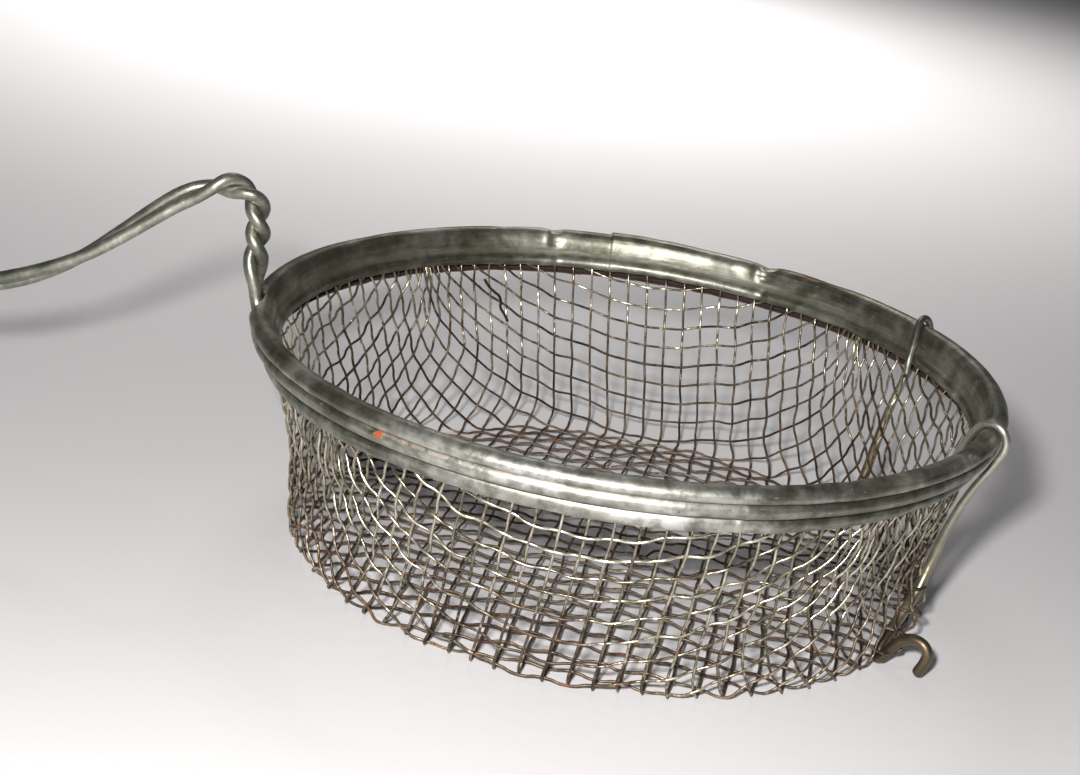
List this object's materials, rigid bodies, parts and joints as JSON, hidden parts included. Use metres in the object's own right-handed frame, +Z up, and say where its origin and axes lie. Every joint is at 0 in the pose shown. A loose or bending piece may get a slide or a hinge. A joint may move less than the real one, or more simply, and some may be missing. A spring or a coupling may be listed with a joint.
{
  "type": "wire cloth fry and drain basket",
  "caption": "Round flat-bottomed basket of woven wire cloth with a rolled tin rim, a twisted two-strand wire handle and hooks opposite it for hanging on a pot's edge.",
  "frame": {"origin": "centre of the underside of the basket's floor", "axes": "+Z up out of the basket, the handle runs towards -X, the two hooks stand either side of +X"},
  "size_m": [0.4096, 0.2138, 0.0989],
  "materials": {
    "wire_cloth": "aged tinned wire, worn to dark brown steel, bright in places",
    "inner_tin": "aged tin plate, dull, rust at the edges",
    "outer_tin": "aged tin plate, satin, rust in the grooves",
    "handle_wire": "aged tinned wire, dull grey with brighter worn streaks",
    "hook_wire": "aged tinned wire, yellowed towards the foot"
  },
  "bodies": {
    "root": {"wire_cloth_basket": "wire_cloth", "inner_rim_band": "inner_tin", "outer_rim_band": "outer_tin", "handle_and_hoop_wire": "handle_wire", "near_drain_hook": "hook_wire", "far_drain_hook": "hook_wire"}
  },
  "joints": []
}
